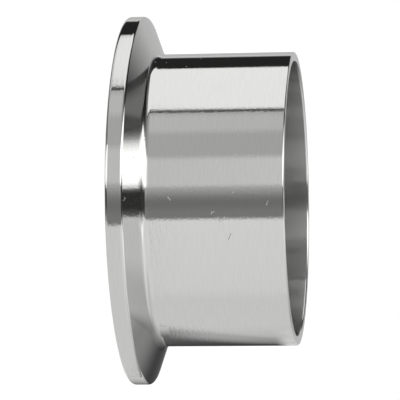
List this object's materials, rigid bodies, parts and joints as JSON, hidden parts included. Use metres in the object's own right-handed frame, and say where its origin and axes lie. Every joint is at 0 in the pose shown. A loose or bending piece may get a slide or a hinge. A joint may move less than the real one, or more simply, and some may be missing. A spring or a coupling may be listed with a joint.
{
  "type": "long weld ferrule",
  "caption": "Turned stainless steel weld ferrule: a long thin-walled tube end with a round clamp flange that has a sloping back and a gasket groove in its sealing face.",
  "frame": {"origin": "centre of the bore in the plane of the sealing face, which the ferrule stands on", "axes": "+Z runs along the bore from the sealing face to the weld end; the part is round, so X and Y are free"},
  "size_m": [0.064, 0.064, 0.0286],
  "materials": {
    "polished_steel": "polished with fine turning marks"
  },
  "bodies": {
    "root": {"ferrule": "polished_steel"}
  },
  "joints": []
}
